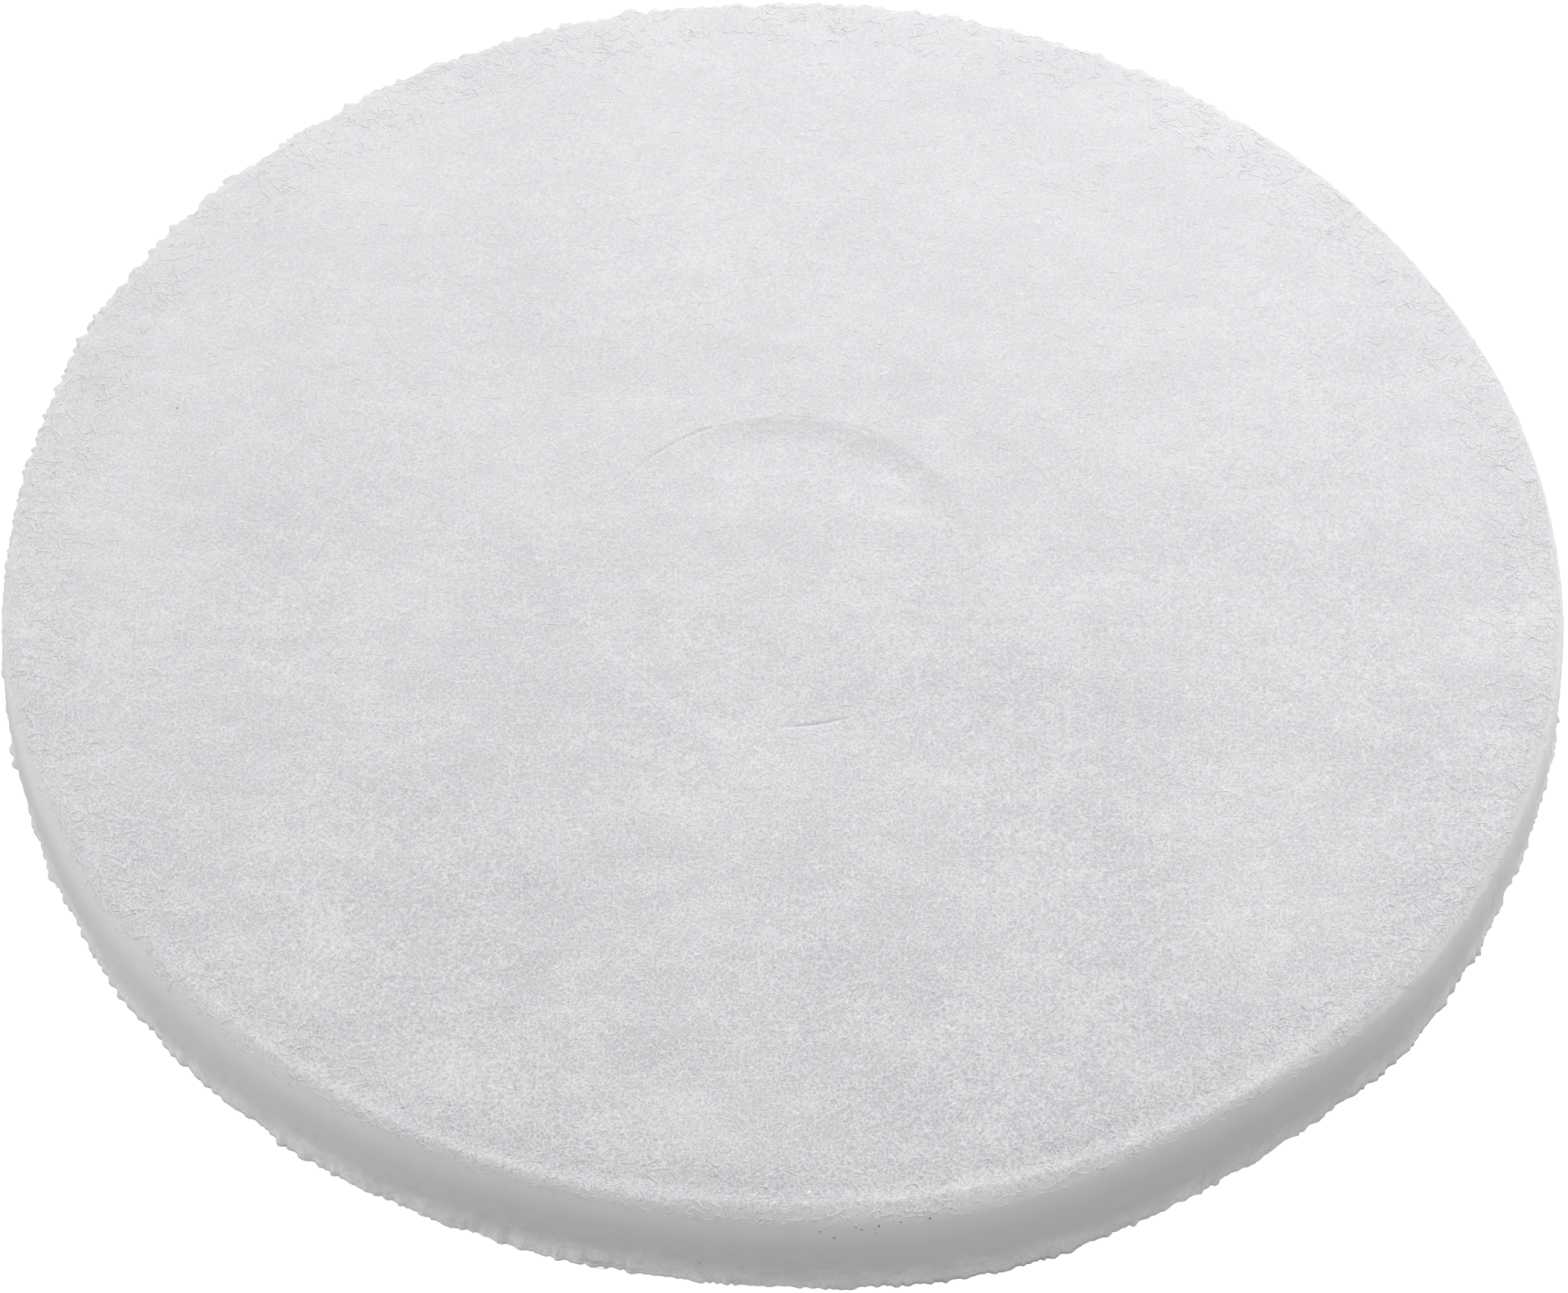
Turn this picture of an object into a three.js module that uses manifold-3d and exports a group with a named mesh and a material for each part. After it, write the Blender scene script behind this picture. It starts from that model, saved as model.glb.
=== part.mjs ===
// A round floor polishing pad: one disc of lofty nonwoven fibre, cut out of the web with a round die.
// A second, smaller ring blade has cut the knock-out disc in the middle. The blade is notched, so the
// disc is still held by bridges of uncut web, and it is pushed out where a machine's hub needs the hole.
// Millimetres, +Z up. The origin is the middle of the underside, and +Y is the side away from the front.

import * as THREE from "three";
import { mergeVertices } from "three/addons/utils/BufferGeometryUtils.js";
import Module from "manifold-3d";

const wasm = await Module();
wasm.setup();

// Driving dimensions.
const padDiameter = 330;
const padThickness = 21;
const topRimRadius = 4.5; // the die enters here and rolls the web's edge over
const bottomRimRadius = 1.8; // the die leaves here, with a crisper edge

// The knock-out disc and the cut around it.
const discDiameter = 82.5;
const cutWidth = 1;
const bridgeAngles = [162, 320]; // degrees, anticlockwise from +X
const bridgeWidth = 12; // uncut web, measured along the cut

// Beside the cut the top face is rolled down into it on both sides.
const lipWidth = 6.5;
const lipDepth = 1.5;
const lipFade = 9; // along the cut, where the rolled lips run out at a bridge

// The disc was pressed in deeper on one side.
const pressDepth = 0.9;
const pressAngle = 62; // degrees, the side that lies lowest

// How finely the round forms are divided.
const roundSteps = 96;
const topRimSteps = 6;
const bottomRimSteps = 3;
const lipSteps = 4;
const discRings = 3;
const cutEndSteps = 4;
const cutStepAngle = 3.75; // degrees for each facet of the cut
const cutOverrun = 1; // the blade passes through both faces

// What follows from them.
const padRadius = padDiameter / 2;
const cutRadius = discDiameter / 2;
const halfCut = cutWidth / 2;
const lipInner = cutRadius - halfCut - lipWidth;
const lipOuter = cutRadius + halfCut + lipWidth;
const fibreWhite = 0xd6d7d9;

const radians = THREE.MathUtils.degToRad;

// Points on a stretch of an ellipse, from one angle to another.
function arcPoints(x, y, widthRadius, heightRadius, from, to, steps) {
  const clockwise = to < from;
  const arc = new THREE.EllipseCurve(x, y, widthRadius, heightRadius, from, to, clockwise);
  return arc.getPoints(steps);
}

// The section of the pad from the axis to the rim: underside, rim and top face, with both lips.
function padProfile() {
  const points = [new THREE.Vector2(0, 0)];
  const lowRim = padRadius - bottomRimRadius;
  const low = bottomRimRadius;
  points.push(...arcPoints(lowRim, low, low, low, -Math.PI / 2, 0, bottomRimSteps));
  const highRim = padRadius - topRimRadius;
  const rimCentre = padThickness - topRimRadius;
  const high = topRimRadius;
  points.push(...arcPoints(highRim, rimCentre, high, high, 0, Math.PI / 2, topRimSteps));
  const lipFoot = padThickness - lipDepth;
  points.push(...arcPoints(lipOuter, lipFoot, lipWidth, lipDepth, Math.PI / 2, Math.PI, lipSteps));
  points.push(...arcPoints(lipInner, lipFoot, lipWidth, lipDepth, 0, Math.PI / 2, lipSteps));
  for (let ring = discRings - 1; ring >= 0; ring -= 1) {
    points.push(new THREE.Vector2((lipInner * ring) / discRings, padThickness));
  }
  return points;
}

// How far an angle lies from another, as a length along the cut.
function alongCut(angle, other) {
  const turn = Math.atan2(Math.sin(angle - other), Math.cos(angle - other));
  return Math.abs(turn) * cutRadius;
}

// 1 on a bridge, 0 where the blade has cut, and a soft step between them.
function bridgeShare(angle) {
  const distance = Math.min(...bridgeAngles.map((bridge) => alongCut(angle, radians(bridge))));
  return 1 - THREE.MathUtils.smoothstep(distance, bridgeWidth / 2, bridgeWidth / 2 + lipFade);
}

// Lowers the top face of the disc on the side that was pressed in, and none of it on a bridge.
function pressedIn(radius, angle) {
  if (radius > cutRadius) {
    return 0;
  }
  const side = (1 + Math.cos(angle - radians(pressAngle))) / 2;
  const outward = (radius / cutRadius) ** 2;
  return pressDepth * side * outward * (1 - bridgeShare(angle));
}

// Turns the section into the pad, then lets the lips run out over the bridges.
function padBlank() {
  const blank = new THREE.LatheGeometry(padProfile(), roundSteps);
  blank.rotateX(Math.PI / 2);
  const place = blank.getAttribute("position");
  for (let i = 0; i < place.count; i += 1) {
    const radius = Math.hypot(place.getX(i), place.getY(i));
    const height = place.getZ(i);
    const onTop = height > padThickness - lipDepth - halfCut && radius < lipOuter;
    if (onTop) {
      const angle = Math.atan2(place.getY(i), place.getX(i));
      const rolled = (padThickness - height) * (1 - bridgeShare(angle));
      place.setZ(i, padThickness - rolled - pressedIn(radius, angle));
    }
  }
  return blank;
}

// The blade's slot between two bridges: a narrow band along the cut with round ends.
function slot(from, to) {
  const steps = Math.max(2, Math.ceil((to - from) / radians(cutStepAngle)));
  const end = (angle, first, last) =>
    arcPoints(
      cutRadius * Math.cos(angle),
      cutRadius * Math.sin(angle),
      halfCut,
      halfCut,
      angle + first,
      angle + last,
      cutEndSteps,
    ).slice(1, -1);
  const outer = arcPoints(0, 0, cutRadius + halfCut, cutRadius + halfCut, from, to, steps);
  const inner = arcPoints(0, 0, cutRadius - halfCut, cutRadius - halfCut, to, from, steps);
  const outline = [...outer, ...end(to, 0, Math.PI), ...inner, ...end(from, Math.PI, 2 * Math.PI)];
  const depth = padThickness + 2 * cutOverrun;
  const blade = new THREE.ExtrudeGeometry(new THREE.Shape(outline), { depth, bevelEnabled: false });
  blade.translate(0, 0, -cutOverrun);
  return blade;
}

// One slot from each bridge to the next one round.
function slots() {
  const halfBridge = (bridgeWidth + cutWidth) / 2 / cutRadius;
  const sorted = bridgeAngles.map(radians).sort((a, b) => a - b);
  return sorted.map((bridge, i) => {
    const last = i === sorted.length - 1;
    const next = last ? sorted[0] + 2 * Math.PI : sorted[i + 1];
    return slot(bridge + halfBridge, next - halfBridge);
  });
}

// A closed three.js shape as a solid that can be joined and cut.
function solidOf(geometry) {
  const bare = geometry.clone();
  bare.deleteAttribute("normal");
  bare.deleteAttribute("uv");
  const merged = mergeVertices(bare, 1e-4);
  const corners = merged.index.array;
  const kept = [];
  for (let i = 0; i < corners.length; i += 3) {
    const [a, b, c] = corners.slice(i, i + 3);
    if (a !== b && b !== c && c !== a) {
      kept.push(a, b, c);
    }
  }
  const vertProperties = merged.getAttribute("position").array;
  return new wasm.Manifold(new wasm.Mesh({ numProp: 3, vertProperties, triVerts: new Uint32Array(kept) }));
}

function geometryOf(solid) {
  const mesh = solid.getMesh();
  const geometry = new THREE.BufferGeometry();
  geometry.setAttribute("position", new THREE.BufferAttribute(mesh.vertProperties, mesh.numProp));
  geometry.setIndex(new THREE.BufferAttribute(mesh.triVerts, 1));
  geometry.computeVertexNormals();
  return geometry;
}

function polishingPad() {
  let solid = solidOf(padBlank());
  for (const blade of slots()) {
    solid = solid.subtract(solidOf(blade));
  }
  const material = new THREE.MeshStandardMaterial({ color: fibreWhite, roughness: 0.95, metalness: 0 });
  const pad = new THREE.Mesh(geometryOf(solid), material);
  pad.name = "polishing_pad";
  return pad;
}

const part = new THREE.Group();
part.add(polishingPad());

export default part;
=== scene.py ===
import math
import random

import bmesh
import bpy
from mathutils import Matrix, Vector, noise
from mathutils.bvhtree import BVHTree


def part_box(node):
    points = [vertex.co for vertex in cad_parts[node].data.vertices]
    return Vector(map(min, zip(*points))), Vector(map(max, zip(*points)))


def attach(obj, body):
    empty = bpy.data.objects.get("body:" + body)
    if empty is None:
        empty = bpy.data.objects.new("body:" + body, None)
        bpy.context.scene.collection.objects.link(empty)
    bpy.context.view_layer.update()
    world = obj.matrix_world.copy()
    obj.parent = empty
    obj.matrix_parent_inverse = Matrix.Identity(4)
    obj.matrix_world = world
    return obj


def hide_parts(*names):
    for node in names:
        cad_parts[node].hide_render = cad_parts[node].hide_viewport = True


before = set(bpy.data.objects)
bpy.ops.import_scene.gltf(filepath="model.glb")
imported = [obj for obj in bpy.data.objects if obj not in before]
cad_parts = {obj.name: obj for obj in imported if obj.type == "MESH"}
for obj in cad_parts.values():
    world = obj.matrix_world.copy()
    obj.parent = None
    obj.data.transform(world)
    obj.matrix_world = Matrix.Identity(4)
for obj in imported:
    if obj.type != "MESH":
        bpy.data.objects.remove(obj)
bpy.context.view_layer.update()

padLow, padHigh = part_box("polishing_pad")
mm = 0.001
padRadius = (padHigh.x - padLow.x) / 2
padTop = padHigh.z
fullTurn = 2 * math.pi

# The pad's own form: rims, the cut round the knock-out disc and the unevenness of the web
pad = {
    "topRim": 2.8 * mm,
    "bottomRim": 1.0 * mm,
    "rollEnd": 0.35,                # share of the wall's rows that the rolled top rim takes
    "footStart": 0.95,              # and where the bottom rim starts
    "flare": 0.4 * mm,              # the wall's foot stands out by this much
    "flareHeight": 6.5 * mm,
    "lean": 0.4 * mm,               # and above the foot the wall leans in
    "wornAt": (222, 318),           # degrees, where the front edge is worn down
    "wornFrom": 146 * mm,
    "wornDepth": 2.1 * mm,
    "wornPower": 2.2,
    "splayAt": (205, 335),          # where the wall's foot spreads and its top leans in more
    "splay": 0.9 * mm,
    "splayLean": 1.1 * mm,
    "splayHeight": 7.5 * mm,
    "softFront": 50,                # degrees over which these fade out
    "frontRim": 4.6 * mm,           # the rolled edge is rounder at the very front than at the back
    "roundAt": (248, 292),
    "raggedAt": (52, 180),          # and at the back it is ragged
    "raggedSoft": 40,
    "ragged": 2.6 * mm,
    "raggedMiddle": 0.2,            # the noise's usual size, so that the edge keeps its place
    "raggedScale": 430,
    "raggedFrom": (12 * mm, 17.5 * mm),
    "marks": (                      # a tuft and a notch: degrees, how far out, how wide
        (102.9, 1.6 * mm, 1.6 * mm),
        (93.3, -0.9 * mm, 2.2 * mm),
    ),
    "scallop": 1.4 * mm,            # small rounded steps along the foot
    "scallopMiddle": 0.22,
    "scallopTop": (0.8 * mm, 3.6 * mm),
    "scallopScale": 520,
    "nibble": 0.9 * mm,             # and longer ones
    "nibbleScale": 110,
    "cutRadius": 41.25 * mm,
    "slotWidth": 0.3 * mm,
    "slotDepth": 7.0 * mm,
    "slotOpen": ((114, 140, 0.03), (272, 288, 0.06)),   # from, to, share; fibres close the rest
    "slotSoft": 12,
    "softCut": 30,                  # degrees over which the lip and the hollow fade out
    "lipAt": (178, 288),            # the lip outside the cut that is pressed down
    "lipDepth": 0.55 * mm,
    "lipWidth": 9 * mm,
    "hollowAt": (22, 112),          # the hollow just inside the cut
    "hollowDepth": 1.25 * mm,
    "hollowWidth": 19 * mm,
    "hollowEdge": 6.0 * mm,         # how steeply it climbs back up to the cut
    "bridges": (162, 320),          # degrees, anticlockwise from +X
    "bridgeWidth": 12 * mm,
    "bridgeFade": 9 * mm,
    "coarseSteps": 180,             # round the middle, doubled at each radius below
    "doubleAt": (20 * mm, 62 * mm, 160 * mm),
    "topStep": 2.3 * mm,
    "cutStep": 0.9 * mm,            # closer rings within this distance of the cut
    "cutReach": 9 * mm,
    "rimRows": 30,
    "underStep": 8.0 * mm,
    "swell": 0.35 * mm,             # broad waves of the web
    "swellScale": 22,
    "tuft": 0.12 * mm,              # clumps of fibre
    "tuftScale": 150,
    "wander": 2.2 * mm,             # how far the die's edge strays from a true circle
    "wanderScale": 14,
    "clump": 0.45 * mm,             # clumps that stand out of the wall
    "clumpScales": (480, 190),
    "clumpShare": 0.6,
    "calm": 0.25,                   # share of the clumps left at the top of the wall
    "calmFrom": (3 * mm, 13 * mm),
}

# Offsets in noise space, so that no two layers line up
layerShift = {"swell": Vector((3, 7, 1)), "tuft": Vector((11, 2, 5)), "clump": Vector((8, 1, 4))}


def smoothStep(x, start, end):
    t = min(1.0, max(0.0, (x - start) / (end - start)))
    return t * t * (3 - 2 * t)


def mixed(a, b, share):
    return a + (b - a) * share


# 1 on a bridge of uncut web, 0 where the blade went through
def bridgeShare(angle):
    nearest = min(abs(math.remainder(angle - math.radians(b), fullTurn)) for b in pad["bridges"])
    away = nearest * pad["cutRadius"]
    return 1 - smoothStep(away, pad["bridgeWidth"] / 2, pad["bridgeWidth"] / 2 + pad["bridgeFade"])


# 1 between two angles in degrees, with soft ends outside them
def between(angle, limits, soft):
    middle, half = (limits[0] + limits[1]) / 2, (limits[1] - limits[0]) / 2
    away = abs(math.remainder(math.degrees(angle) - middle, 360))
    return 1 - smoothStep(away, half - soft / 2, half + soft / 2)


# How much of the slot's depth is left open in the top face
def slotShare(angle):
    soft = pad["slotSoft"]
    return max(between(angle, (start, end), soft) * share for start, end, share in pad["slotOpen"])


# How far the top face lies below its own level at a place, slot left out
def sunkBy(radius, angle):
    cut = pad["cutRadius"]
    worn = max(0, min(1, (radius - pad["wornFrom"]) / (padRadius - pad["wornFrom"])))
    depth = pad["wornDepth"] * between(angle, pad["wornAt"], pad["softFront"]) * worn ** pad["wornPower"]
    lip = pad["lipDepth"] * between(angle, pad["lipAt"], pad["softCut"])
    if radius > cut:
        return depth + lip * max(0, 1 - (radius - cut) / pad["lipWidth"]) ** 2
    hollow = pad["hollowDepth"] * between(angle, pad["hollowAt"], pad["softCut"])
    hollow *= smoothStep(radius, cut - pad["hollowWidth"], cut - pad["hollowEdge"])
    hollow *= 1 - max(0, 1 - (cut - radius) / pad["hollowEdge"]) ** 1.5
    return hollow + lip * smoothStep(radius, cut - 2 * pad["lipWidth"], cut)


# How far a place near the rim is moved outwards: the splayed front, the foot's steps, the ragged back
def edgeShift(radius, height, angle):
    foot = max(0, 1 - height / pad["splayHeight"])
    above = max(0, height - pad["splayHeight"]) / (padTop - pad["splayHeight"])
    inward = pad["splay"] * (1 - foot ** 2) + pad["splayLean"] * above ** 2
    inward *= between(angle, pad["splayAt"], pad["softFront"])
    inward *= smoothStep(radius, pad["wornFrom"], padRadius - 4 * mm)
    around = Vector((math.cos(angle), math.sin(angle), 0)) * padRadius
    step = (abs(noise.noise(around * pad["scallopScale"])) - pad["scallopMiddle"]) * pad["scallop"]
    step += noise.noise(around * pad["nibbleScale"]) * pad["nibble"]
    near = smoothStep(radius, padRadius - 5 * mm, padRadius - 1.5 * mm)
    low = (1 - smoothStep(height, *pad["scallopTop"])) * near
    place = (around + Vector((0, 0, height))) * pad["raggedScale"] + layerShift["swell"]
    lump = (abs(noise.noise(place)) - pad["raggedMiddle"]) * pad["ragged"]
    lump += noise.noise(around * pad["nibbleScale"] + layerShift["tuft"]) * pad["nibble"]
    high = smoothStep(height, *pad["raggedFrom"]) * near
    high *= between(angle, pad["raggedAt"], pad["raggedSoft"])
    for at, out, wide in pad["marks"]:
        away = math.remainder(angle - math.radians(at), fullTurn) * padRadius / wide
        lump += out * math.exp(-away ** 2)
    return step * low + lump * high - inward


# Rounds the rolled edge further at the front: gives the new radius and height of a place
def rounder(radius, height, angle):
    grow = (pad["frontRim"] / pad["topRim"] - 1) * between(angle, pad["roundAt"], pad["softFront"])
    edge, start = rimPoint(pad["rollEnd"])[0], rimPoint(0)[0]
    drop = padTop - height
    if drop < pad["topRim"] and radius > start:
        return radius - (edge - radius) * grow, height - drop * grow
    if drop > 0.1 * mm:
        high = padTop - pad["topRim"]
        share = smoothStep(radius, padRadius - 6 * mm, padRadius - 3 * mm)
        return radius, height * (1 - grow * pad["topRim"] / high * share)
    share = smoothStep(radius, pad["wornFrom"], start)
    return radius - pad["topRim"] * grow * share, height


# How far the web stands out along its normal at a point
def lift(point, wallShare):
    swell = noise.noise(point * pad["swellScale"] + layerShift["swell"]) * pad["swell"]
    tuft = noise.noise(point * pad["tuftScale"] + layerShift["tuft"]) * pad["tuft"]
    if wallShare == 0:
        return swell + tuft
    wander = noise.noise(point * pad["wanderScale"]) * pad["wander"]
    fine, broad = pad["clumpScales"]
    clump = noise.noise(point * fine + layerShift["clump"]) * pad["clumpShare"]
    clump += noise.noise(point * broad) * pad["clumpShare"]
    lowShare = mixed(1, pad["calm"], smoothStep(point.z, *pad["calmFrom"]))
    return swell + tuft + (wander + clump * pad["clump"] * lowShare) * wallShare


# The rim's section as (radius, height), from 0 at the top face to 1 at the underside
def rimPoint(share):
    high, low = padTop - pad["topRim"], pad["bottomRim"]
    rollEnd, footStart = pad["rollEnd"], pad["footStart"]
    if share < rollEnd:
        a = share / rollEnd * math.pi / 2
        inward, height = pad["topRim"] * (1 - math.sin(a)), high + pad["topRim"] * math.cos(a)
    elif share < footStart:
        inward, height = 0, mixed(high, low, (share - rollEnd) / (footStart - rollEnd))
    else:
        a = (share - footStart) / (1 - footStart) * math.pi / 2
        inward, height = low * (1 - math.cos(a)), low * (1 - math.sin(a))
    foot = max(0, 1 - height / pad["flareHeight"])
    above = max(0, min(height, high) - pad["flareHeight"]) / (high - pad["flareHeight"])
    return padRadius - inward - pad["flare"] * (1 - foot ** 2) - pad["lean"] * above ** 2, height


# The section as (radius, height) points from the underside's middle to the top's middle
def padSection():
    points = [(0, 0)]

    def line(fromRadius, toRadius, height, step):
        count = max(1, round(abs(toRadius - fromRadius) / step))
        for i in range(1, count + 1):
            points.append((mixed(fromRadius, toRadius, i / count), height))

    half = pad["slotWidth"] / 2
    cut = pad["cutRadius"]
    line(0, cut - half, 0, pad["underStep"])
    points.append((cut, pad["slotDepth"]))
    points.append((cut + half, 0))
    line(cut + half, padRadius - pad["bottomRim"], 0, pad["underStep"])
    points.extend(rimPoint(i / pad["rimRows"]) for i in range(pad["rimRows"] - 1, -1, -1))
    line(rimPoint(0)[0], cut + pad["cutReach"], padTop, pad["topStep"])
    line(cut + pad["cutReach"], cut + half, padTop, pad["cutStep"])
    points.append((cut, padTop - pad["slotDepth"]))
    points.append((cut - half, padTop))
    line(cut - half, cut - pad["cutReach"], padTop, pad["cutStep"])
    line(cut - pad["cutReach"], 0, padTop, pad["topStep"])
    return points


def makePad():
    bm = bmesh.new()
    section = [bm.verts.new((r, 0, z)) for r, z in padSection()]
    edges = [bm.edges.new(pair) for pair in zip(section, section[1:])]
    bmesh.ops.spin(bm, geom=section + edges, axis=(0, 0, 1), cent=(0, 0, 0), angle=fullTurn,
                   steps=pad["coarseSteps"], use_merge=True)
    bmesh.ops.remove_doubles(bm, verts=bm.verts, dist=0.01 * mm)

    steps = pad["coarseSteps"]
    for reach in pad["doubleAt"]:
        around = []
        for edge in bm.edges:
            a, b = (v.co for v in edge.verts)
            level = abs(a.z - b.z) < 1e-7 and abs(a.xy.length - b.xy.length) < 1e-6
            if level and a.xy.length > reach:
                around.append(edge)
        made = bmesh.ops.subdivide_edges(bm, edges=around, cuts=1, use_grid_fill=True)
        outward = 1 / math.cos(math.pi / steps)
        for item in made["geom_inner"]:
            if isinstance(item, bmesh.types.BMVert):
                item.co.x *= outward
                item.co.y *= outward
        steps *= 2

    bm.normal_update()
    moves = []
    for vert in bm.verts:
        point = vert.co
        radius, angle = point.xy.length, math.atan2(point.y, point.x)
        turnedIn, settled = rounder(radius, point.z, angle)
        onTop = point.z > padTop - pad["slotDepth"] - 0.1 * mm and radius < rimPoint(0)[0]
        inLowSlot = abs(point.z - pad["slotDepth"]) < 0.1 * mm and radius < padRadius / 2
        wallShare = smoothStep(radius, padRadius - 2.5 * mm, padRadius - 0.3 * mm)
        out = vert.normal * lift(point, wallShare)
        further = edgeShift(radius, point.z, angle) + turnedIn - radius
        aside = Vector((math.cos(angle) * further, math.sin(angle) * further, settled - point.z))
        if onTop:
            below = (padTop - point.z) * slotShare(angle) + sunkBy(radius, angle)
            rise = padTop - below - point.z + out.length * (1 if out.z > 0 else -1)
            moves.append(aside + Vector((0, 0, rise)))
        elif inLowSlot:
            moves.append(Vector((0, 0, -point.z * bridgeShare(angle))))
        elif point.z < 0.1 * mm:
            moves.append(aside + Vector((0, 0, abs(out.z) * 0.6)))
        else:
            moves.append(out + aside)
    for vert, move in zip(bm.verts, moves):
        vert.co += move
        vert.co.z = max(0, vert.co.z)
    bmesh.ops.recalc_face_normals(bm, faces=bm.faces)
    skin = BVHTree.FromBMesh(bm)
    return finishPiece(bm, "pad_web"), skin


def finishPiece(bm, name):
    mesh = bpy.data.meshes.new(name)
    bm.to_mesh(mesh)
    bm.free()
    mesh.polygons.foreach_set("use_smooth", [True] * len(mesh.polygons))
    piece = bpy.data.objects.new(name, mesh)
    bpy.context.scene.collection.objects.link(piece)
    return piece


# Loose strands of the web, laid over the faces and looped out of the rim
strandSorts = {
    "top_fibres": {"count": 4500, "from": 0.0, "to": 160.0, "steps": (3, 7), "stand": 0.02, "loop": 0.03},
    "rim_loops": {"count": 2200, "from": 150.0, "to": 165.5, "steps": (5, 9), "stand": 0.03, "loop": 0.45},
    "under_fibres": {"count": 2500, "from": 180.0, "to": 340.0, "steps": (4, 8), "stand": 0.02, "loop": 0.03},
}
strand = {"wide": 0.045 * mm, "thick": 0.035 * mm, "step": 0.6 * mm, "turn": 0.45, "seed": 41}


# A place near the pad's skin, so many metres along the section from the middle of the top
def skinAt(run, angle):
    flat = rimPoint(0)[0]
    if run < flat:
        r, z, outward, upward = run, padTop - sunkBy(run, angle), 0, 1
    elif run < flat + padTop:
        share = (run - flat) / padTop
        r, z = rimPoint(share)
        further = rimPoint(min(1, share + 0.01))
        outward, upward = z - further[1], further[0] - r
    else:
        r, z, outward, upward = padRadius - pad["bottomRim"] - (run - flat - padTop), 0, 0, -1
    place = Vector((r * math.cos(angle), r * math.sin(angle), z))
    normal = Vector((outward * math.cos(angle), outward * math.sin(angle), upward))
    return place, normal.normalized(), r


def strandPoints(sort, skin, chance):
    low, high = sort["from"] * mm, sort["to"] * mm
    while True:
        run = mixed(low, high, chance.random())
        r = skinAt(run, 0)[2]
        if chance.random() < r / padRadius:
            break
    angle = chance.random() * fullTurn
    heading = chance.random() * fullTurn
    bend = chance.gauss(0, strand["turn"])
    steps = chance.randint(*sort["steps"])
    arch = chance.random() ** 2 * sort["loop"] * mm
    stand = chance.uniform(0, sort["stand"]) * mm
    points = []
    for i in range(steps + 1):
        place, normal, r = skinAt(run, angle)
        wallShare = smoothStep(r, padRadius - 2.5 * mm, padRadius - 0.3 * mm)
        found = skin.find_nearest(place + normal * lift(place, wallShare))[0]
        point = found + normal * (stand + arch * math.sin(math.pi * i / steps))
        point.z = max(point.z, strand["wide"])
        points.append(point)
        heading += bend + chance.gauss(0, 0.25)
        run += math.cos(heading) * strand["step"]
        angle += math.sin(heading) * strand["step"] / max(r, 4 * mm)
        run = abs(run)
    return points


# The section of a strand: a small flat triangle with its broad side up
def strandSection():
    ring = bpy.data.curves.new("strand_section", "CURVE")
    spline = ring.splines.new("POLY")
    spline.points.add(2)
    wide, thick = strand["wide"], strand["thick"]
    for point, (x, y) in zip(spline.points, ((-wide, thick), (wide, thick), (0, -thick))):
        point.co = (x, y, 0, 1)
    spline.use_cyclic_u = True
    return bpy.data.objects.new("strand_section", ring)


def makeFibres(name, sort, skin, chance):
    curve = bpy.data.curves.new(name, "CURVE")
    curve.dimensions = "3D"
    curve.twist_mode = "Z_UP"
    curve.bevel_mode = "OBJECT"
    section = strandSection()
    curve.bevel_object = section
    curve.use_fill_caps = True
    for _ in range(sort["count"]):
        points = strandPoints(sort, skin, chance)
        spline = curve.splines.new("POLY")
        spline.points.add(len(points) - 1)
        spline.points.foreach_set("co", [x for p in points for x in (*p, 1)])
    holder = bpy.data.objects.new(name + "_path", curve)
    for used in (holder, section):
        bpy.context.scene.collection.objects.link(used)
    graph = bpy.context.evaluated_depsgraph_get()
    mesh = bpy.data.meshes.new_from_object(holder.evaluated_get(graph))
    mesh.name = name
    for used in (holder, section):
        data = used.data
        bpy.data.objects.remove(used)
        bpy.data.curves.remove(data)
    piece = bpy.data.objects.new(name, mesh)
    mesh.materials.clear()
    bpy.context.scene.collection.objects.link(piece)
    return piece


# A socket that can be added, subtracted and multiplied
class Wire:
    def __init__(self, finish, socket):
        self.finish, self.socket = finish, socket

    def maths(self, operation, a, b=0):
        return self.finish.node("ShaderNodeMath", {"operation": operation}, {0: a, 1: b}).out()

    def __add__(self, other):
        return self.maths("ADD", self, other)

    def __sub__(self, other):
        return self.maths("SUBTRACT", self, other)

    def __mul__(self, other):
        return self.maths("MULTIPLY", self, other)

    def __rsub__(self, other):
        return self.maths("SUBTRACT", other, self)

    __radd__ = __add__
    __rmul__ = __mul__

    def size(self):
        return self.maths("ABSOLUTE", self)

    def along(self, operation, other=(0, 0, 0)):
        return self.finish.node("ShaderNodeVectorMath", {"operation": operation}, {0: self, 1: other}).out()

    def dot(self, other):
        node = self.finish.node("ShaderNodeVectorMath", {"operation": "DOT_PRODUCT"}, {0: self, 1: other})
        return node.out("Value")

    def orMore(self, other):
        return self.maths("MAXIMUM", self, other)


class Made:
    def __init__(self, finish, node):
        self.finish, self.node = finish, node

    def out(self, name=0):
        return Wire(self.finish, self.node.outputs[name])


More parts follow.
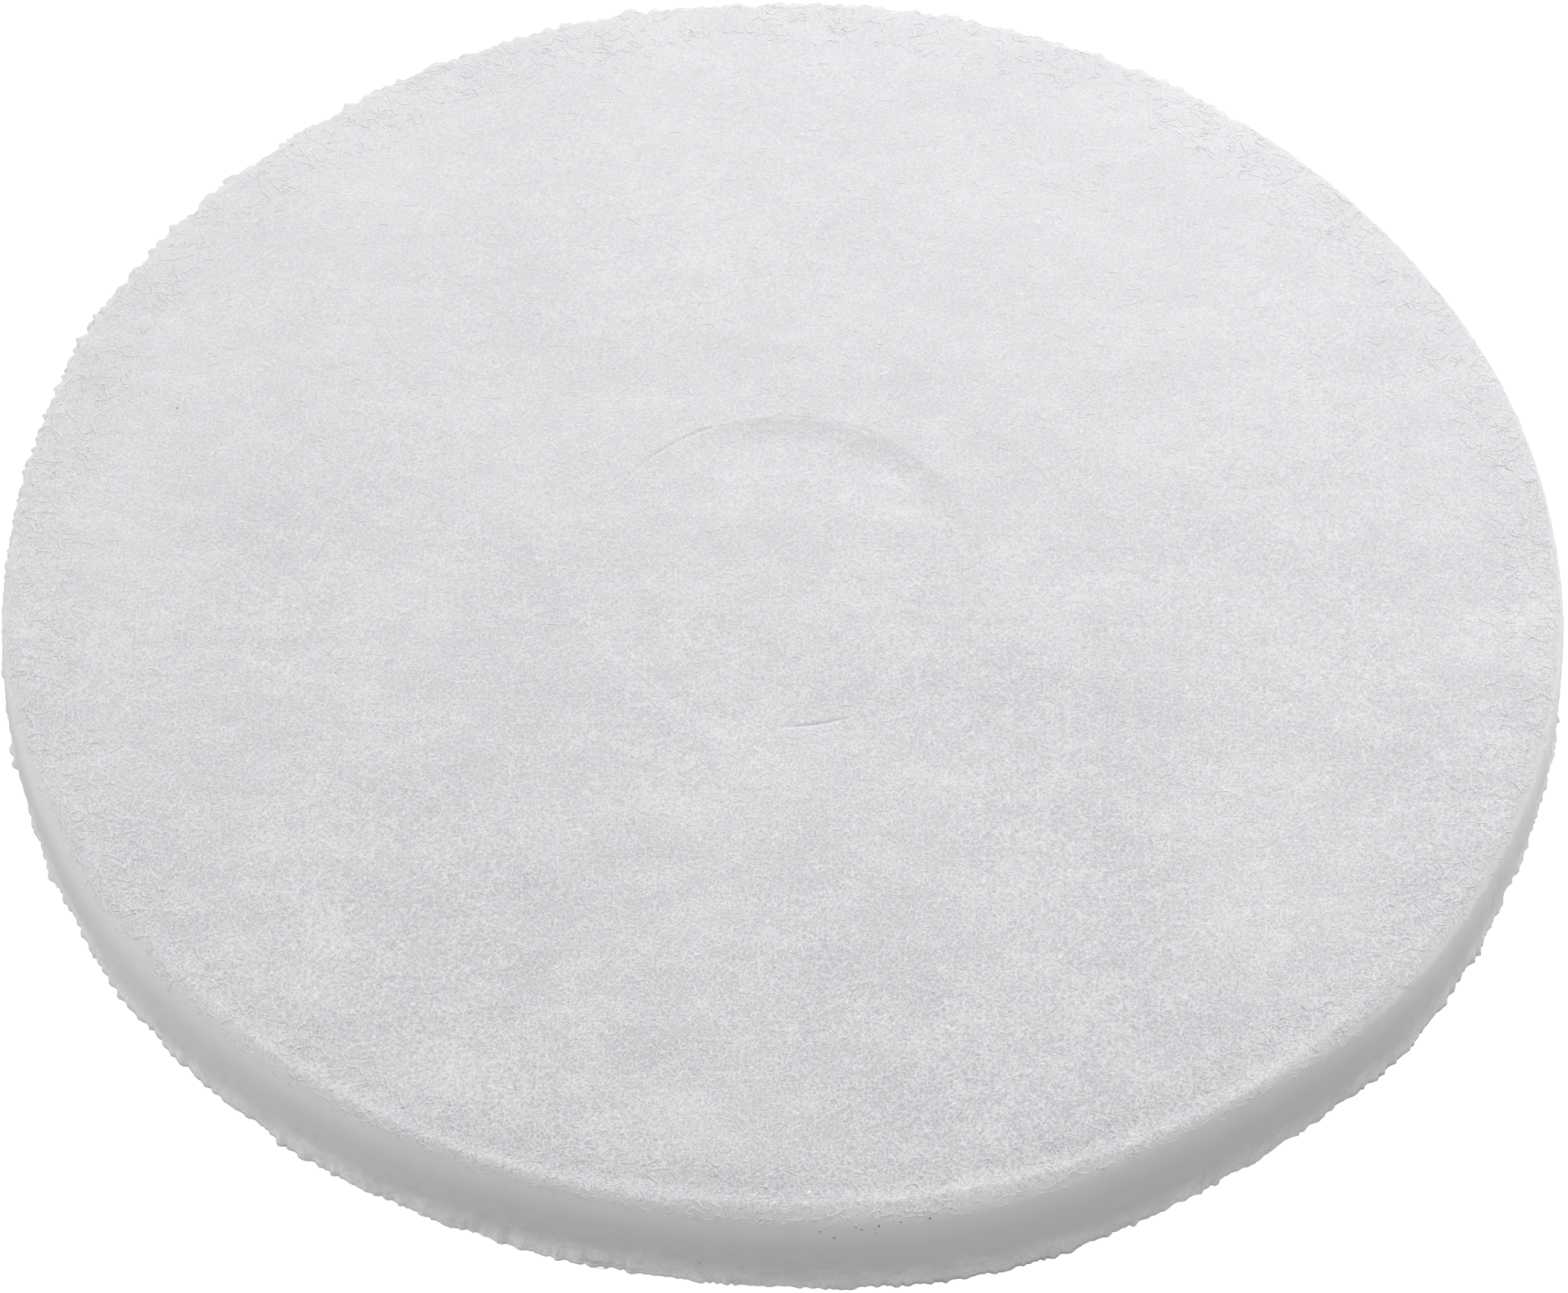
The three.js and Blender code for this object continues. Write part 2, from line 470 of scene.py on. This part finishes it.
class Finish:
    def __init__(self, name, tree=None):
        if tree is None:
            self.material = bpy.data.materials.new(name)
            self.material.use_nodes = True
            tree = self.material.node_tree
        self.tree = tree
        tree.nodes.clear()

    def node(self, kind, settings=None, sockets=None):
        made = self.tree.nodes.new(kind)
        for key, value in (settings or {}).items():
            setattr(made, key, value)
        for key, value in (sockets or {}).items():
            if isinstance(value, Wire):
                self.tree.links.new(value.socket, made.inputs[key])
            else:
                made.inputs[key].default_value = value
        return Made(self, made)

    def noise(self, place, scale, detail=2.0, rough=0.5, shift=(0, 0, 0)):
        moved = self.node("ShaderNodeMapping", None, {"Vector": place, "Location": shift}).out()
        sockets = {"Vector": moved, "Scale": scale, "Detail": detail, "Roughness": rough}
        return self.node("ShaderNodeTexNoise", None, sockets).out("Fac")

    # Remaps a value between two limits, smoothly
    def between(self, value, fromLow, fromHigh, toLow=0.0, toHigh=1.0):
        limits = {"From Min": fromLow, "From Max": fromHigh, "To Min": toLow, "To Max": toHigh}
        settings = {"interpolation_type": "SMOOTHSTEP"}
        return self.node("ShaderNodeMapRange", settings, {"Value": value, **limits}).out()

    def mixedColour(self, share, a, b):
        made = self.node("ShaderNodeMix", {"data_type": "RGBA"}, {0: share, 6: a, 7: b})
        return made.out(2)


web = {
    "colour": (0.66, 0.665, 0.68, 1),
    "shade": (0.42, 0.425, 0.44, 1),    # painted shade down between the fibres
    "fibre": (0.90, 0.905, 0.915, 1),
    "layers": (230, 330, 450, 640, 850),    # cells a metre, for long fibres to short ones
    "width": 0.13 * mm,                 # half the width of a drawn fibre
    "crimp": 0.8 * mm,                  # how far it wanders
    "crimpScale": 800,
    "strength": 0.62,
    "clouds": 170,
    "drift": 42,                        # broad thin and thick places
    "driftShare": 0.4,
    "pits": 1800,                       # small dark gaps
    "cloudsShare": 0.55,
    "deepFrom": (0.45, 1.1),            # below the first all shade, above the second none
    "contrastFrontBack": (0.95, 0.40),            # the fibres and the painted shade between them stand out most at the front and least at the back
    "edge": (0.60, 1.02),               # where the rim turns up into the top face
    "edgeRagged": 0.45,
    "calm": 0.85,                       # the wall shows hardly any single fibre
    "wallShadeTone": (0.59, 0.595, 0.61, 1),     # its colour where no fibre is drawn, darkened by painted shade
    "foot": (-1 * mm, 8 * mm),          # the foot of the wall is paler, in small dots: a pale fibre mesh and painted light from the floor
    "footDots": 1700,
    "dotsFrom": (0.44, 0.58),
    "footRagged": 9 * mm,
    "footShare": (0.65, 1.0),
    "paintedBrowLight": (11 * mm, 21 * mm),         # painted light: the part below its top edge is paler
    "browShare": 0.4,
    "wallRelief": 0.25,                 # the share of the bump left on the wall
    "relief": (0.3, 0.6),               # of the clouds and the pits
    "bump": 0.5,
    "bumpDepth": 0.3 * mm,
}

# Small dark specks along the front edge and a few painted glints, small white highlights: places in mm
specks = {
    "reach": 0.36,                      # how wide each is, also in mm
    "core": 0.4,                        # the share of that which is full strength
    "sizes": (1, 0.65, 0.85, 0.5, 0.7),
    "darkColour": (0.24, 0.235, 0.23, 1),
    "paintedGlintColour": (1, 1, 1, 1),
    "dark": ((-130.9, 41.1, 21.1), (-12.1, 141.3, 20.9), (-14.8, -161.9, 5.1), (-6.0, -163.1, 8.8),
             (8.8, -162.3, 17.8), (11.5, -162.6, 16.1), (15.7, -161.5, 18.4), (16.8, -161.7, 18.0),
             (19.2, -161.4, 18.0), (19.6, -161.8, 16.7), (20.2, -161.1, 18.4), (23.0, -160.4, 19.0),
             (24.4, -160.4, 18.8), (26.3, -160.0, 19.0), (29.4, -159.7, 18.7), (30.1, -159.5, 18.9)),
    # painted glints
    "paleAndPaintedLight": ((6.5, -154.7, 20.3), (26.4, -156.8, 20.7), (19.9, -159.3, 20.0), (22.5, -158.2, 20.4)),
}


# Mixes a list of small spots into a colour
def spotted(f, place, base, spots, colour):
    share = None
    for i, spot in enumerate(spots):
        reach = specks["reach"] * specks["sizes"][i % len(specks["sizes"])] * mm
        ends = {0: place, 1: [v * mm for v in spot]}
        away = f.node("ShaderNodeVectorMath", {"operation": "DISTANCE"}, ends)
        one = f.between(away.out("Value"), reach * specks["core"], reach, 1, 0)
        share = one if share is None else share.orMore(one)
    return f.mixedColour(share, base, colour)


# One layer of fibres: a line at a chance angle through the middle of each cell
def fibreLayer(f, place, scale, shift):
    aside = (shift, shift * 2, shift * 3)
    moved = f.node("ShaderNodeMapping", None, {"Vector": place, "Location": aside}).out()
    cells = f.node("ShaderNodeTexVoronoi", {"feature": "F1"}, {"Vector": moved, "Scale": scale})
    inCell = moved.along("SUBTRACT", cells.out("Position"))
    across = cells.out("Color").along("SUBTRACT", (0.5, 0.5, 0.5))
    normal = f.node("ShaderNodeNewGeometry").out("True Normal")
    across = across.along("CROSS_PRODUCT", normal).along("NORMALIZE")
    paleness = f.between(cells.out("Color").dot((0.4, 0.3, 0.3)), 0.25, 0.75, 0.2, 1)
    return f.between(inCell.dot(across).size(), 0, web["width"], 1, 0) * paleness


def webFinish():
    f = Finish("nonwoven_web")
    place = f.node("ShaderNodeTexCoord").out("Object")
    sockets = {"Vector": place, "Scale": web["crimpScale"], "Detail": 1}
    crimp = f.node("ShaderNodeTexNoise", None, sockets).out("Color")
    crimp = crimp.along("SUBTRACT", (0.5, 0.5, 0.5)).along("SCALE")
    crimp.socket.node.inputs["Scale"].default_value = web["crimp"] * 2
    bent = place.along("ADD", crimp)
    fibres = None
    for i, scale in enumerate(web["layers"]):
        layer = fibreLayer(f, bent, scale, 5 + 12 * i)
        fibres = layer if fibres is None else fibres.orMore(layer)
    stretched = f.node("ShaderNodeMapping", None, {"Vector": place, "Scale": (0.6, 1, 1)}).out()
    clouds = f.noise(stretched, web["clouds"], 3, 0.75, (4, 4, 1))
    pits = f.noise(place, web["pits"], 1, 0.5, (7, 3, 2))
    height = clouds * web["relief"][0] + pits * web["relief"][1]

    level = place.dot((0, 0, 1))
    upward = f.node("ShaderNodeNewGeometry").out("Normal").dot((0, 0, 1))
    wall = 1 - f.between(upward + (clouds - 0.5) * web["edgeRagged"], *web["edge"])
    # Painted light from the floor: the foot of the wall is paler, in small dots of a pale fibre mesh
    foot = 1 - f.between(level + (clouds - 0.5) * web["footRagged"], *web["foot"])
    dots = f.noise(place, web["footDots"], 2, 0.6, (2, 5, 6))
    paleAndPaintedLight = wall * foot * f.between(dots, *web["dotsFrom"], *web["footShare"])
    # Painted light on the upper wall, just below its top edge
    paintedBrowLight = wall * f.between(level, *web["paintedBrowLight"]) * web["browShare"]
    relief = 1 - wall * (1 - web["wallRelief"])
    # The drawn fibres and the painted shade fade from the front to the back
    contrastShare = f.between(place.dot((0, 1, 0)), -padRadius, padRadius, *web["contrastFrontBack"])
    contrastShare = contrastShare * (1 - wall * (1 - foot) * web["calm"])

    # Painted shade down between the fibres: in the pits, the clouds and the thin places
    drift = (f.noise(stretched, web["drift"], 2, 0.6, (9, 1, 2)) - 0.5) * web["driftShare"]
    pitShade = f.between(clouds * web["cloudsShare"] + pits + drift, *web["deepFrom"], 1, 0) * contrastShare
    # The wall takes a darker tone where no fibre is drawn: painted shade
    base = f.mixedColour(wall, f.mixedColour(pitShade, web["colour"], web["shade"]), web["wallShadeTone"])
    shown = (fibres * web["strength"] * contrastShare).orMore(paleAndPaintedLight).orMore(paintedBrowLight)
    colour = f.mixedColour(shown, base, web["fibre"])
    colour = spotted(f, place, colour, specks["dark"], specks["darkColour"])
    # Painted glints
    colour = spotted(f, place, colour, specks["paleAndPaintedLight"], specks["paintedGlintColour"])
    sockets = {"Strength": web["bump"], "Distance": web["bumpDepth"], "Height": height * relief}
    bump = f.node("ShaderNodeBump", None, sockets).out()
    shader = f.node("ShaderNodeBsdfPrincipled", None, {
        "Base Color": colour, "Roughness": 0.95, "Specular IOR Level": 0.2, "Sheen Weight": 0.35,
        "Sheen Roughness": 0.5, "Normal": bump})
    f.node("ShaderNodeOutputMaterial", None, {"Surface": shader.out()})
    return f.material


def fibreFinish():
    f = Finish("fibre_strand")
    place = f.node("ShaderNodeTexCoord").out("Object")
    tone = f.noise(place, 160, 2, 0.5, (1, 6, 3))
    colour = f.mixedColour(tone, (0.84, 0.845, 0.855, 1), (0.96, 0.965, 0.97, 1))
    sockets = {"Base Color": colour, "Roughness": 0.9, "Specular IOR Level": 0.2}
    shader = f.node("ShaderNodeBsdfPrincipled", None, sockets)
    f.node("ShaderNodeOutputMaterial", None, {"Surface": shader.out()})
    return f.material


# The studio: a pale floor, a broad lamp above and behind, a weaker one at the front left
studio = {
    "floorSize": 6.0,
    "floorColour": (0.70, 0.70, 0.70, 1),
    "floorWhite": 0.74,
    "ambient": 0.55,
    "keyPlace": (0.36, 0.6, 0.9),
    "keySize": 0.9,
    "keyPower": 10.1,
    "fillPlace": (-1.1, -0.05, 0.3),
    "fillSize": 0.7,
    "fillPower": 3.2,
}


def seenOnly(f):
    path = f.node("ShaderNodeLightPath")
    mirrored = path.out("Is Glossy Ray").orMore(path.out("Is Transmission Ray"))
    return path.out("Is Camera Ray").orMore(mirrored)


def makeStudio():
    half = studio["floorSize"] / 2
    bm = bmesh.new()
    bmesh.ops.create_grid(bm, x_segments=1, y_segments=1, size=half)
    floor = finishPiece(bm, "studio_floor")
    f = Finish("studio_floor")
    flat = f.node("ShaderNodeBsdfDiffuse", None, {"Color": studio["floorColour"]}).out()
    glow = f.node("ShaderNodeEmission", None, {"Strength": seenOnly(f) * studio["floorWhite"]}).out()
    both = f.node("ShaderNodeAddShader", None, {0: flat, 1: glow}).out()
    f.node("ShaderNodeOutputMaterial", None, {"Surface": both})
    floor.data.materials.append(f.material)

    world = bpy.data.worlds.new("studio")
    bpy.context.scene.world = world
    world.use_nodes = True
    f = Finish("studio", world.node_tree)
    strength = f.between(seenOnly(f), 0, 1, studio["ambient"], 1)
    sky = f.node("ShaderNodeBackground", None, {"Color": (1, 1, 1, 1), "Strength": strength}).out()
    f.node("ShaderNodeOutputWorld", None, {"Surface": sky})

    for name in ("key", "fill"):
        lamp = bpy.data.lights.new(name, "AREA")
        lamp.shape = "DISK"
        lamp.size = studio[name + "Size"]
        lamp.energy = studio[name + "Power"]
        holder = bpy.data.objects.new(name, lamp)
        spot = Vector(studio[name + "Place"])
        turned = (-spot).to_track_quat("-Z", "Y").to_matrix().to_4x4()
        holder.matrix_world = Matrix.Translation(spot) @ turned
        bpy.context.scene.collection.objects.link(holder)


# The camera of the photograph
view = {
    "distance": 1.320,
    "elevation": 51.777,
    "aimForward": -0.0209,
    "roll": 0.831,
    "lens": 143.92,
    "sensor": 36.0,
}


def makeCamera():
    lens = bpy.data.cameras.new("camera")
    lens.lens, lens.sensor_width = view["lens"], view["sensor"]
    camera = bpy.data.objects.new("camera", lens)
    up = math.radians(view["elevation"])
    spot = Vector((0, -view["distance"] * math.cos(up), padTop + view["distance"] * math.sin(up)))
    aim = Vector((0, view["aimForward"], padTop))
    turned = (aim - spot).to_track_quat("-Z", "Y").to_matrix().to_4x4()
    rolled = Matrix.Rotation(math.radians(view["roll"]), 4, "Z")
    camera.matrix_world = Matrix.Translation(spot) @ turned @ rolled
    bpy.context.scene.collection.objects.link(camera)
    bpy.context.scene.camera = camera


makeCamera()
makeStudio()
print("camera and studio done")

webMaterial, strandMaterial = webFinish(), fibreFinish()
body, skin = makePad()
body.data.materials.append(webMaterial)
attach(body, "root")
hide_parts("polishing_pad")
print("pad body done,", len(body.data.polygons), "faces")

chance = random.Random(strand["seed"])
for name, sort in strandSorts.items():
    fibres = makeFibres(name, sort, skin, chance)
    fibres.data.materials.append(strandMaterial)
    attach(fibres, "root")
    print(name, "done,", len(fibres.data.polygons), "faces")

bpy.context.scene.view_settings.view_transform = "Standard"
